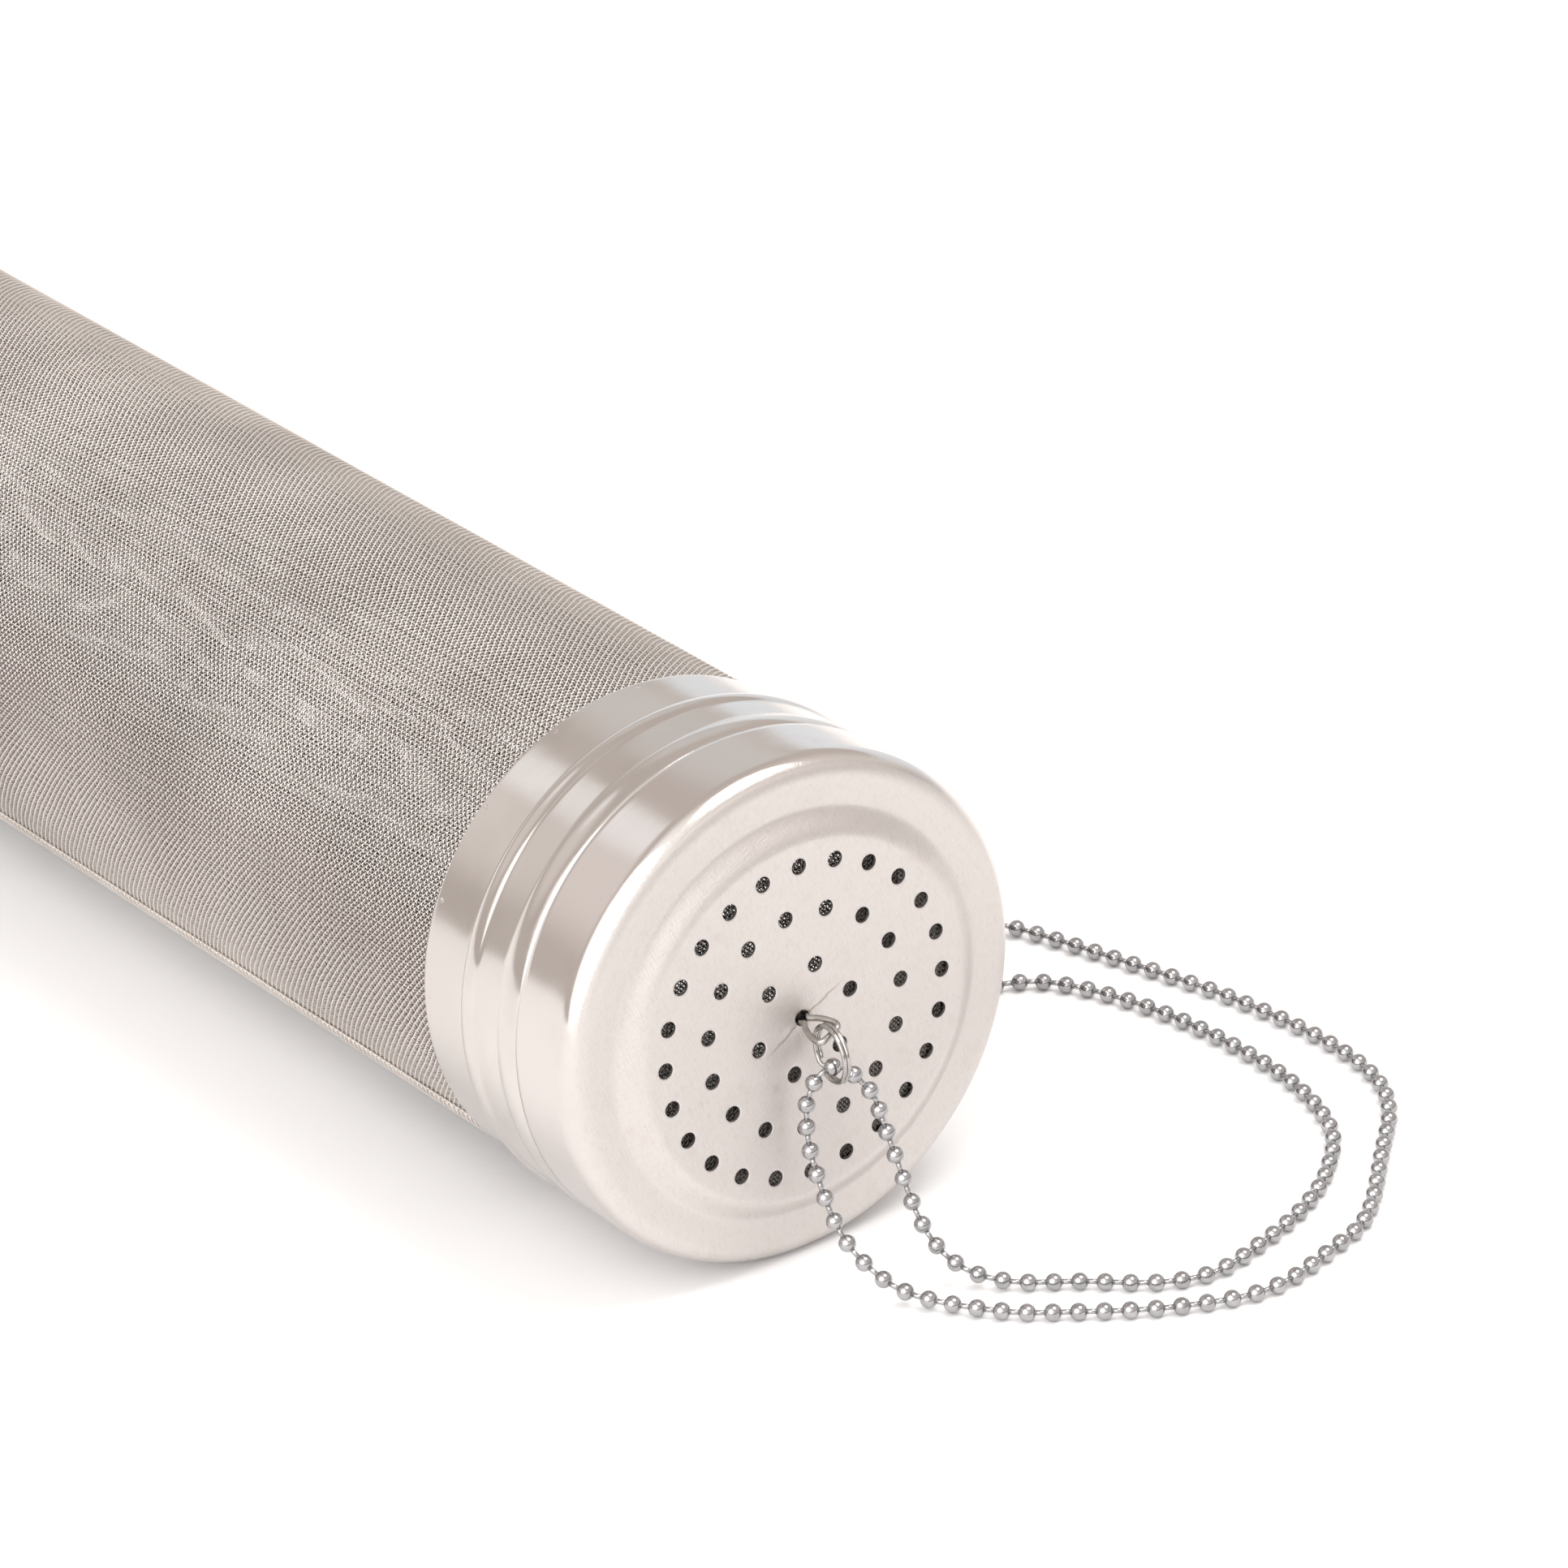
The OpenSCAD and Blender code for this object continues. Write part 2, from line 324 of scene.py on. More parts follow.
def face_mask(shader):
    """1 on the lid's face and 0 on its wall."""
    x, y, z = shader.place()
    return (x - (face_x / MM - 4.2)).clamped(0.0, 2.6)


def lid_roughness(shader):
    first, second = scratches(shader)
    satin = 0.25 + first * 0.16 + second * 0.12
    polished = polished_roughness(shader)
    mask = face_mask(shader)
    return mask * satin + (1 - mask) * polished


def lid_normal(shader):
    first, second = scratches(shader)
    mask = face_mask(shader)
    fine = mask * (first * 3.4 + second * 2.6) + (1 - mask) * (round_hairlines(shader) * 0.35)
    return shader.bump(fine, 0.00002, 0.8)


def crease_line(shader):
    """1 along the thin stained line that the bending of the eye's legs left across the middle."""
    x, y, z = shader.place()
    up = z - axis_z / MM
    wander = shader.grain(shader.here(), 0.5, 2.0) * 0.8 - 0.4
    across = (up * math.cos(CREASE_TURN) - y * math.sin(CREASE_TURN) + wander).away_from(0.0)
    along = (y * math.cos(CREASE_TURN) + up * math.sin(CREASE_TURN)).away_from(0.0)
    return (1 - across.clamped(0.02, 0.3)) * (1 - along.clamped(4.0, 8.5)) * face_mask(shader)


def lid_colour(shader):
    stain = shader.grain(shader.here(), 0.16, 5.0, 0.62)
    steel = shader.mix(stain.clamped(0.55, 0.95), (0.61, 0.573, 0.553, 1), (0.54, 0.49, 0.45, 1))
    first, second = scratches(shader)
    rubbed = (first.clamped(0.5, 0.72) * 0.5 + second.clamped(0.5, 0.72) * 0.4) * face_mask(shader)
    steel = shader.mix(rubbed, steel, (0.50, 0.462, 0.436, 1))
    return shader.mix(crease_line(shader) * 0.55, steel, (0.26, 0.19, 0.13, 1))


def cloth_colour(shader):
    """Worn light tone outside; painted shade makes it near black deep in the weave and on the inside."""
    rubbed = wear(shader, 0.03, 0.3, 0.7, (0.76, 0.71, 0.67), (0.84, 0.79, 0.75))
    # Painted shade: the wires darken to near black towards the axis, deep in the weave and on the inner
    # layer.
    painted_weave_shade = from_axis(shader).clamped(tube_r - 0.62, tube_r - 0.12)
    return shader.mix(painted_weave_shade, (0.08, 0.07, 0.06, 1), rubbed)


def crimps(shader):
    """The crimps of the straight wires, which rise and fall once for every two hoops."""
    x, y, z = shader.place()
    wave = shader.maths("SINE", x * (math.pi / HOOP_PITCH * MM))
    return shader.bump(wave * 0.5, 0.22 * MM)


polished_steel = metal("polished_steel", polished_colour, polished_roughness, polished_normal)
satin_steel = metal("satin_steel", lid_colour, lid_roughness, lid_normal)
dull_steel = metal("dull_steel", lambda s: wear(s, 0.3, 0.3, 0.7, (0.34, 0.33, 0.32), (0.46, 0.45, 0.43)),
                   lambda s: 0.3 + round_hairlines(s) * 0.15)
cloth_wire = metal("cloth_wire", cloth_colour, 0.55)
crimped_wire = metal("crimped_wire", cloth_colour, 0.55, crimps)
# Painted shade: the lid's cloth sits behind the drilled disc, so its wires are painted dark.
lid_cloth_wire = metal("lid_cloth_wire", (0.24, 0.225, 0.21, 1), 0.32)
bright_wire = metal("bright_wire",
                    lambda s: wear(s, 0.6, 0.4, 0.7, (0.36, 0.345, 0.33), (0.45, 0.435, 0.42)),
                    lambda s: 0.10 + s.grain(s.here(), 1.4, 3.0) * 0.10)
bead_plating = metal("bead_plating",
                     lambda s: wear(s, 0.5, 0.35, 0.7, (0.35, 0.345, 0.35), (0.43, 0.425, 0.43)),
                     lambda s: 0.07 + s.grain(s.here(), 0.9, 3.0) * 0.09)
print("materials", len(bpy.data.materials))

# %% [markdown]
# Three small mesh helpers make nearly all the solid pieces: a mesh from points and faces, a ring turned
# about the tube's axis, and a round wire swept along points. Each is placed by its vertices, so that every
# object stays at the origin.

# %% Mesh helpers


def mesh_object(name, points, faces, material, sharp_above=40):
    """A smooth-shaded object with one material; edges above the angle in degrees stay sharp."""
    mesh = bpy.data.meshes.new(name)
    mesh.from_pydata([tuple(p) for p in points], [], faces)
    mesh.validate()
    mesh.shade_smooth()
    mesh.set_sharp_from_angle(angle=math.radians(sharp_above))
    mesh.materials.append(material)
    return add_object(name, mesh)


def ride_as(piece, body, slot, *nodes):
    """Ties a finished piece to its body and hides the CAD nodes that it stands for; the slot is not used."""
    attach(piece, body)
    if nodes:
        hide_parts(*nodes)
    print(f"{piece.name}: {len(piece.data.polygons)} faces on {body}")
    return piece


def arc(x, r, radius, start, end, steps):
    """Points (x, r) of an arc, angles in degrees from +x towards +r."""
    angles = [math.radians(start + (end - start) * i / steps) for i in range(steps + 1)]
    return [(x + radius * math.cos(a), r + radius * math.sin(a)) for a in angles]


def rib(x, half, rise, base_r, steps):
    """A pressed rib's arc from its near foot, at smaller x, to its far foot."""
    radius = (half * half + rise * rise) / (2 * rise)
    span = math.degrees(math.asin(half / radius))
    return arc(x, base_r + rise - radius, radius, 90 + span, 90 - span, steps)


def divided(points, longest):
    """The same line with no stretch longer than the given length."""
    made = [points[0]]
    for (x0, r0), (x1, r1) in zip(points, points[1:]):
        parts = max(1, math.ceil(math.hypot(x1 - x0, r1 - r0) / longest))
        made += [(x0 + (x1 - x0) * k / parts, r0 + (r1 - r0) * k / parts) for k in range(1, parts + 1)]
    return made


def turned_points(outline, around, from_x, bulge=None):
    """Rings of points for an outline of (x, r) in millimetres, with an optional bulge(x, angle)."""
    rings = []
    for x, r in outline:
        for k in range(around):
            angle = 2 * math.pi * k / around
            out = r + (bulge(x, r, angle) if bulge else 0)
            rings.append((from_x + x * MM, -out * MM * math.sin(angle), axis_z + out * MM * math.cos(angle)))
    return rings


def ring_faces(rings, around, closed=True, first=0):
    """Faces between rings of points, wound so that an outline drawn towards +x on top faces out."""
    faces = []
    for i in range(rings if closed else rings - 1):
        a, b = first + i * around, first + (i + 1) % rings * around
        faces += [(a + k, a + (k + 1) % around, b + (k + 1) % around, b + k) for k in range(around)]
    return faces


def turned(name, outline, around, from_x, material, bulge=None):
    """A closed ring turned about the tube's axis."""
    points = turned_points(outline, around, from_x, bulge)
    return mesh_object(name, points, ring_faces(len(outline), around), material)


def swept_wire(name, route, radius, sides, material):
    """A round wire along points in metres, with rounded, closed ends."""
    route = [Vector(p) for p in route]
    last = len(route) - 1
    tangents = [(route[min(i + 1, last)] - route[max(i - 1, 0)]).normalized() for i in range(last + 1)]
    side = tangents[0].orthogonal().normalized()
    points, rings = [], 0
    for i, (place, along) in enumerate(zip(route, tangents)):
        side = (side - along * side.dot(along)).normalized()
        up = along.cross(side)
        ends = {0: ((-0.5, 0.55), (-0.2, 0.88), (0, 1)), last: ((0, 1), (0.2, 0.88), (0.5, 0.55))}
        for shift, share in ends.get(i, ((0, 1),)):
            centre = place + along * shift * radius
            for k in range(sides):
                turn = 2 * math.pi * k / sides
                points.append(centre + radius * share * (math.cos(turn) * side + math.sin(turn) * up))
            rings += 1
    faces = ring_faces(rings, sides, closed=False)
    faces += [tuple(reversed(range(sides))), tuple(range((rings - 1) * sides, rings * sides))]
    return mesh_object(name, points, faces, material, 60)


# %% [markdown]
# The chain's route is a smooth curve through given points: down from one side of the split ring,
# round on the surface the infuser lies on, behind the tube to the clasp, and back to the ring's other side.
# The curve is the same one that the CAD model sweeps, and the short bight through the ring closes it.

# %% Route of the ball chain
CHAIN_ROUTE = [
    (4.0, -3.6, 26.0), (4.8, -3.9, 19.5), (8.5, -3.1, 9.8), (13.0, -1.2, 4.4), (19.0, 1.7, 1.8),
    (29.0, 8.2, 1.3), (35.5, 15.2, 1.25), (43.4, 25.8, 1.25), (48.2, 38.0, 1.25), (45.6, 51.0, 1.25),
    (41.8, 60.0, 1.25), (30.0, 72.3, 1.25), (21.8, 80.3, 1.25), (13.0, 84.8, 1.25), (0.0, 86.2, 1.25),
    (-18.0, 84.4, 1.25), (-38.0, 79.6, 1.25), (-54.5, 74.6, 1.4), (-60.0, 70.0, 1.75),
    (-60.0, 66.5, 1.75), (-60.0, 56.5, 1.75), (-60.0, 53.0, 1.75), (-56.0, 48.8, 1.4),
    (-49.6, 50.4, 1.25), (-44.6, 59.5, 1.25), (-38.0, 68.8, 1.25), (-20.0, 74.8, 1.25), (3.0, 75.8, 1.25),
    (19.5, 71.6, 1.25), (28.7, 63.8, 1.25), (34.6, 54.8, 1.25), (38.2, 44.5, 1.25), (39.9, 35.5, 1.25),
    (37.0, 28.2, 1.25), (30.0, 20.9, 1.25), (23.6, 13.4, 1.45), (17.9, 9.3, 3.2), (13.4, 7.2, 8.3),
    (9.4, 6.1, 18.5), (7.6, 4.9, 26.2)
]
BIGHT_ROUTE = [
    (4.15, -3.5, 26.8), (4.6, -2.75, 29.4), (5.15, -1.4, 31.1), (5.6, 0.0, 31.6),
    (6.05, 1.4, 31.1), (6.65, 2.85, 29.5), (7.35, 4.5, 27.0)
]
BEAD_D = 2.4


def smooth(points, steps):
    """Points on the smooth curve through the given ones."""
    p = np.array(points, float)
    made = []
    for i in range(len(p) - 1):
        before, a, b, after = p[max(i - 1, 0)], p[i], p[i + 1], p[min(i + 2, len(p) - 1)]
        for t in np.arange(steps) / steps:
            made.append(0.5 * (2 * a + (b - before) * t + (2 * before - 5 * a + 4 * b - after) * t**2
                               + (3 * a - before - 3 * b + after) * t**3))
    return made + [p[-1]]


def chain_loop():
    """The whole closed loop in metres, from the middle of the bight and back to it."""
    middle = len(BIGHT_ROUTE) // 2
    joined = BIGHT_ROUTE[middle::-1] + CHAIN_ROUTE + BIGHT_ROUTE[:middle - 1:-1]
    return [Vector((face_x + x * MM, y * MM, z * MM)) for x, y, z in smooth(joined, 6)]


loop = chain_loop()
chain_length = sum((b - a).length for a, b in zip(loop, loop[1:]))
print(f"chain loop {chain_length / MM:.1f} mm round")

# %% [markdown]
# What repeats by the hundred, beads and woven wires, is made by Geometry Nodes trees that are written here
# in code. A `Tree` has named inputs for its sizes; `make` sets them, runs the tree once and keeps the result
# as a plain mesh, so that no modifier is left on the piece.

# %% Geometry Nodes helper


class Tree(Graph):
    """A Geometry Nodes tree with named inputs that is being written."""

    def __init__(self, name, **inputs):
        self.tree = bpy.data.node_groups.new(name, "GeometryNodeTree")
        self.tree.interface.new_socket("Geometry", in_out="INPUT", socket_type="NodeSocketGeometry")
        kinds = {int: "NodeSocketInt", float: "NodeSocketFloat", bpy.types.Material: "NodeSocketMaterial"}
        self.ids, self.values = {}, inputs
        for label, value in inputs.items():
            made = self.tree.interface.new_socket(label, in_out="INPUT", socket_type=kinds[type(value)])
            self.ids[label] = made.identifier
        self.tree.interface.new_socket("Geometry", in_out="OUTPUT", socket_type="NodeSocketGeometry")
        self.start = self.tree.nodes.new("NodeGroupInput")
        self.end = self.tree.nodes.new("NodeGroupOutput")

    def __getitem__(self, label):
        return Signal(self, self.start.outputs[label])

    def vectors(self, operation, *values):
        return self.node("ShaderNodeVectorMath", {"operation": operation}, dict(enumerate(values)))

    def xyz(self, **parts):
        """A vector from the parts that are given; the others are 0."""
        return self.node("ShaderNodeCombineXYZ", None, {"xyz".index(k): v for k, v in parts.items()})

    def scaled(self, vector, factor):
        return self.node("ShaderNodeVectorMath", {"operation": "SCALE"}, {0: vector, "Scale": factor})

    def moved(self, geometry, offset):
        return self.node("GeometryNodeSetPosition", None, {"Geometry": geometry, "Offset": offset})

    def points_in_line(self, count, start, step):
        return self.node("GeometryNodeMeshLine", {"mode": "OFFSET"},
                         {"Count": count, "Start Location": start, "Offset": step})

    def copies(self, points, shape, **more):
        """Real copies of a shape, one on each point."""
        laid = self.node("GeometryNodeInstanceOnPoints", None, {"Points": points, "Instance": shape, **more})
        return self.node("GeometryNodeRealizeInstances", None, {"Geometry": laid})

    def straight_line(self, start, end, count):
        """A straight line that evenly spaced points divide."""
        line = self.node("GeometryNodeCurvePrimitiveLine", None, {"Start": start, "End": end})
        return self.node("GeometryNodeResampleCurve", None, {"Curve": line, "Count": count})

    def joined(self, parts):
        join = self.tree.nodes.new("GeometryNodeJoinGeometry")
        for part in parts:
            self.tree.links.new(part.socket, join.inputs[0])
        return Signal(self, join.outputs[0])

    def in_or_out(self, count, turned=0):
        """+1 or -1 by turns along each row of a grid of points, and by turns from row to row."""
        index = self.node("GeometryNodeInputIndex")
        row = self.maths("FLOOR", (index + 0.5) / count)
        along = index - row * count
        return self.maths("MODULO", row + along + turned, 2) * 2 - 1

    def finish(self, geometry, material):
        real = self.node("GeometryNodeRealizeInstances", None, {"Geometry": geometry})
        soft = self.node("GeometryNodeSetShadeSmooth", None, {"Geometry": real})
        painted = self.node("GeometryNodeSetMaterial", None, {"Geometry": soft, "Material": self[material]})
        self.tree.links.new(painted.socket, self.end.inputs[0])

    def make(self, name, base=None, **changed):
        """Runs the tree on a base mesh and returns the result as a plain mesh object."""
        holder = add_object(name + "_holder", base or bpy.data.meshes.new(name + "_base"))
        modifier = holder.modifiers.new("nodes", "NODES")
        modifier.node_group = self.tree
        for label, value in {**self.values, **changed}.items():
            modifier[self.ids[label]] = value
        graph = bpy.context.evaluated_depsgraph_get()
        plain = bpy.data.meshes.new_from_object(holder.evaluated_get(graph))
        bpy.data.objects.remove(holder)
        plain.name = name
        return add_object(name, plain)


def line_mesh(name, points):
    mesh = bpy.data.meshes.new(name)
    mesh.from_pydata([tuple(p) for p in points], [(i, i + 1) for i in range(len(points) - 1)], [])
    return mesh


# %% [markdown]
# Ball chain is hollow beads joined by short pins whose heads are caught inside the beads. Its tree sets out
# evenly spaced points along the loop and puts a bead on every other one and a pin on the rest, so the pitch
# stays the same however the loop lies.

# %% Ball chain
BAR_X = 5.6  # the eye's bar, on which the ring hangs
BEAD_PITCH = 3.4 * MM
bead_count = round(chain_length / BEAD_PITCH)


def chain_tree():
    """Beads on the even points of the line and pins on the odd ones."""
    t = Tree("ball_chain", Beads=bead_count, BeadRadius=BEAD_D / 2 * MM, PinRadius=0.36 * MM,
             PinLength=1.9 * MM, Metal=bead_plating)
    line = t.node("GeometryNodeMeshToCurve", None, {"Mesh": t["Geometry"]})
    spaced = t.node("GeometryNodeResampleCurve", None, {"Curve": line, "Count": t["Beads"] * 2 + 1})
    tangent = t.node("GeometryNodeInputTangent")
    turn = t.node("FunctionNodeAlignRotationToVector", {"axis": "Z"}, {"Vector": tangent})
    index = t.node("GeometryNodeInputIndex")
    odd = t.maths("MODULO", index, 2)
    before_last = t.maths("LESS_THAN", index, t["Beads"] * 2)
    bead = t.node("GeometryNodeMeshUVSphere", None, {"Segments": 20, "Rings": 12, "Radius": t["BeadRadius"]})
    pin = t.node("GeometryNodeMeshCylinder", None,
                 {"Vertices": 10, "Radius": t["PinRadius"], "Depth": t["PinLength"]})
    beads = t.copies(spaced, bead, Selection=before_last - odd, Rotation=turn)
    pins = t.copies(spaced, pin, Selection=odd, Rotation=turn)
    t.finish(t.joined([beads, pins]), "Metal")
    return t


ball_chain = chain_tree().make("bead_chain_loop", line_mesh("chain_line", loop))
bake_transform(ball_chain)
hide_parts("ball_chain", "chain_bight")
print(f"{bead_count} beads, {len(ball_chain.data.polygons)} faces")

# %% [markdown]
# The clasp is a short strip of plated brass bent round the two end beads, open along one side so that a bead
# can be slid in. A tube with a slot and two necked ends is turned from a profile and cut by leaving a gap.

# %% Chain clasp
clasp_low, clasp_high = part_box("chain_clasp")
clasp_mid = (clasp_low + clasp_high) / 2
CLASP_R, CLASP_T, CLASP_GAP = 1.72, 0.3, 52


def clasp_outline():
    """Half-length profile of the clasp: full in the middle and necked in at each end."""
    half = (clasp_high.y - clasp_low.y) / 2 / MM
    return [(-half, 0.80), (-half + 0.5, 0.98), (-half + 1.1, 1.0), (-2.2, 1.0), (-0.6, 0.97), (0, 0.94),
            (0.6, 0.97), (2.2, 1.0), (half - 1.1, 1.0), (half - 0.5, 0.98), (half, 0.80)]


def make_clasp():
    """The clasp's sleeve: two skins round its axis, closed along the slot and at both ends."""
    around, outline = 28, clasp_outline()
    turns = [math.radians(CLASP_GAP / 2 + (360 - CLASP_GAP) * k / around) for k in range(around + 1)]
    points = []
    for radius in (CLASP_R, CLASP_R - CLASP_T):
        for y, share in outline:
            for a in turns:
                points.append(clasp_mid + Vector((radius * share * math.cos(a), y,
                                                  radius * share * math.sin(a))) * MM)
    across, rows = len(turns), len(outline)
    half = across * rows
    faces = []
    for i in range(rows - 1):
        for k in range(around):
            a = i * across + k
            faces.append((a, a + across, a + across + 1, a + 1))
            faces.append((half + a + 1, half + a + across + 1, half + a + across, half + a))
    for i in range(rows - 1):
        for k in (0, around):
            a, b = i * across + k, (i + 1) * across + k
            faces.append((a, half + a, half + b, b) if k == 0 else (b, half + b, half + a, a))
    for k in range(around):
        for row in (0, rows - 1):
            a = row * across + k
            end = (a + 1, half + a + 1, half + a, a)
            faces.append(end if row == 0 else end[::-1])
    return mesh_object("clasp_sleeve", points, faces, bead_plating)


clasp = ride_as(make_clasp(), "lid", "clasp_metal", "chain_clasp")

# %% [markdown]
# The tube is plain-woven wire cloth: hoops of wire that pass over and under straight wires laid along the
# tube. Both are real wires here, because a painted weave would look flat at this size. One tree makes a row
# of hoops, lifts every other crossing outwards and the rest inwards, and gives the line a four-sided
# section; another lays the straight wires, whose small crimps are left to the material's bump. Every wire
# strays a little and the sheet drifts slowly, since two layers of perfectly even cloth would show a pattern
# of dots. The cloth is split into lengths so that no piece grows too heavy.

# %% Woven cloth
WIRE_R = 0.14 * MM
WIRES_ROUND = 380
CLOTH_GROUPS = 8
STRAIGHT_POINTS = 41
CLOTH_TUCK = 1.2
UNEVEN = {"Unevenness": 0.14 * MM, "Drift": 1.5 * MM, "Stray": 0.075 * MM}
weave_r = tube_r * MM - 2.9 * WIRE_R
cloth_from = base_x + (cup_depth - CLOTH_TUCK) * MM
cloth_to = face_x - (collar_reach - CLOTH_TUCK) * MM
hoops = 2 * round((cloth_to - cloth_from) / HOOP_PITCH / 2 / CLOTH_GROUPS)


def sag(t, place):
    """Slow unevenness of the cloth, as a distance along the radius."""
    wave = t.node("ShaderNodeTexNoise", None, {"Vector": place, "Scale": 26.0, "Detail": 1.0})
    return (wave - 0.5) * t["Unevenness"]


def slip(t, place, unit):
    """Slow sideways drift of the weave within the sheet, along the tube and around it."""
    wave = t.node("ShaderNodeTexNoise", None, {"Vector": place, "Scale": 38.0, "Detail": 2.0}, 1)
    drift = t.vectors("SUBTRACT", wave, (0.5, 0.5, 0.5))
    within = t.vectors("SUBTRACT", drift, t.vectors("PROJECT", drift, unit))
    return t.scaled(within, t["Drift"])


def lift_outwards(t, curve, extra):
    """Moves each point along its radius by an extra distance and lets it drift with the cloth."""
    place = t.node("GeometryNodeInputPosition")
    spoke = t.vectors("MULTIPLY", t.vectors("SUBTRACT", place, (0, 0, axis_z)), (0, 1, 1))
    unit = t.vectors("NORMALIZE", spoke)
    rise = t.scaled(unit, sag(t, place) + extra)
    return t.moved(curve, t.vectors("ADD", rise, slip(t, place, unit)))


def stray(t):
    """How far each wire lies from its even place in the weave, different for each point."""
    return t.node("FunctionNodeRandomValue", {"data_type": "FLOAT"},
                  {2: t["Stray"] * -1, 3: t["Stray"], "Seed": t["Seed"]}, 1)


def wire_section(t, curve, sides):
    """Gives a line the thickness of a wire, with a few flat sides."""
    section = t.node("GeometryNodeCurvePrimitiveCircle", None,
                     {"Resolution": sides, "Radius": t["WireRadius"]})
    return t.node("GeometryNodeCurveToMesh", None,
                  {"Curve": curve, "Profile Curve": section, "Fill Caps": True})


def hoop_tree(name, arc_turn=None):
    """Rows of hoops, or of part hoops that start at an angle, each crossing lifted in or out in turn."""
    t = Tree(name, Rows=2, Across=WIRES_ROUND, First=0.0, Pitch=HOOP_PITCH, Radius=weave_r,
             Wave=1.8 * WIRE_R, WireRadius=WIRE_R, **UNEVEN, Seed=0, Metal=cloth_wire)
    stations = t.points_in_line(t["Rows"], t.xyz(x=t["First"], z=axis_z), t.xyz(x=t["Pitch"]))
    stations = t.moved(stations, t.xyz(x=stray(t)))
    sizes = {"Resolution": t["Across"], "Radius": t["Radius"]}
    if arc_turn is None:
        hoop = t.node("GeometryNodeCurvePrimitiveCircle", None, sizes)
    else:
        hoop = t.node("GeometryNodeCurveArc", {"mode": "RADIUS"},
                      {**sizes, "Start Angle": arc_turn[0], "Sweep Angle": arc_turn[1]})
    rows = t.copies(stations, hoop, Rotation=(0, math.pi / 2, 0))
    waved = lift_outwards(t, rows, t.in_or_out(t["Across"]) * t["Wave"])
    t.finish(wire_section(t, waved, 4), "Metal")
    return t


def straight_tree(name):
    """Straight wires laid along the tube on a circle or part of one."""
    t = Tree(name, Across=WIRES_ROUND, First=0.0, Length=0.1, Radius=weave_r, Turn=0.0, Sweep=2 * math.pi,
             WireRadius=WIRE_R, **UNEVEN, Seed=50, Metal=crimped_wire)
    spots = t.points_in_line(t["Across"], (0, 0, 0), (0, 0, 0))
    index = t.node("GeometryNodeInputIndex")
    angle = t["Turn"] + index * t["Sweep"] / t["Across"] + stray(t) / t["Radius"]
    y = t.maths("SINE", angle) * t["Radius"]
    z = axis_z - t.maths("COSINE", angle) * t["Radius"]
    ring = t.moved(spots, t.xyz(x=t["First"], y=y, z=z))
    wires = t.copies(ring, t.straight_line((0, 0, 0), t.xyz(x=t["Length"]), STRAIGHT_POINTS))
    t.finish(wire_section(t, lift_outwards(t, wires, 0.0), 3), "Metal")
    return t


hoop_maker = hoop_tree("cloth_hoops")
for group in range(CLOTH_GROUPS):
    start = cloth_from + group * hoops * HOOP_PITCH
    piece = hoop_maker.make(f"cloth_hoops_{group + 1}", Rows=hoops, First=start, Seed=group)
    ride_as(piece, "tube", "wire_cloth", *(["mesh_tube"] if group == 0 else []))
cloth_length = CLOTH_GROUPS * hoops * HOOP_PITCH
long_wires = straight_tree("cloth_long_wires").make("cloth_long_wires", First=cloth_from,
                                                    Length=cloth_length)
ride_as(long_wires, "tube", "wire_cloth")
print(f"{CLOTH_GROUPS * hoops} hoops over {WIRES_ROUND} wires")

# %% [markdown]
# The cloth is a rolled sheet, so its edges overlap in a narrow lap that is spot welded from end to end.
# The lap is a second, narrow strip of the same cloth on the outside, low on the near side of the tube.

# %% Lap of the cloth
LAP_MIDDLE, LAP_WIDTH = 131, 8.0
lap_sweep = LAP_WIDTH / tube_r
lap_wires = 2 * round(LAP_WIDTH / (2 * math.pi * tube_r / WIRES_ROUND) / 2)
lap_turn = math.radians(180 + LAP_MIDDLE) - lap_sweep / 2
lap_r = weave_r + 3.4 * WIRE_R
lap_from = base_x + (cup_depth + 0.1) * MM
lap_rows = 2 * math.floor((face_x - (collar_reach + 0.1) * MM - lap_from) / HOOP_PITCH / 2)
lap_hoops = hoop_tree("lap_hoops", (lap_turn, lap_sweep)).make(
    "cloth_lap_hoops", Rows=lap_rows, Across=lap_wires, First=lap_from + HOOP_PITCH / 2, Radius=lap_r)
lap_long = straight_tree("lap_long_wires").make(
    "cloth_lap_long_wires", First=lap_from, Length=lap_rows * HOOP_PITCH, Across=lap_wires, Radius=lap_r,
    Turn=lap_turn, Sweep=lap_sweep * lap_wires / (lap_wires - 1))
for piece in (lap_hoops, lap_long):
    ride_as(piece, "tube", "wire_cloth")

# %% [markdown]
# The collar is spun from thin sheet, with a narrow rib near the cloth and a wider one that stops the lid.
# Its outline is drawn once, as a maker would on a turning sheet, and turned about the axis. A slight
# out-of-round makes the reflections bend as they do on thin sheet; the spot welds that hold the cloth are
# small dents in the material's bump.

# %% Collar
SHEET_T = 0.4
BAND_R = tube_r + SHEET_T
RIB_R = tube_r + 1.15


def out_of_round(x, r, angle):
    """Slow unevenness of thin sheet that was spun and then handled."""
    return 0.04 * noise.noise(Vector((x * 0.07, math.cos(angle) * 2.1, math.sin(angle) * 2.1)))


def sheet_outline(outer, thickness):
    """Closed outline of a sheet from its outer line, drawn towards +x."""
    return outer + [(x, r - thickness) for x, r in reversed(outer)]


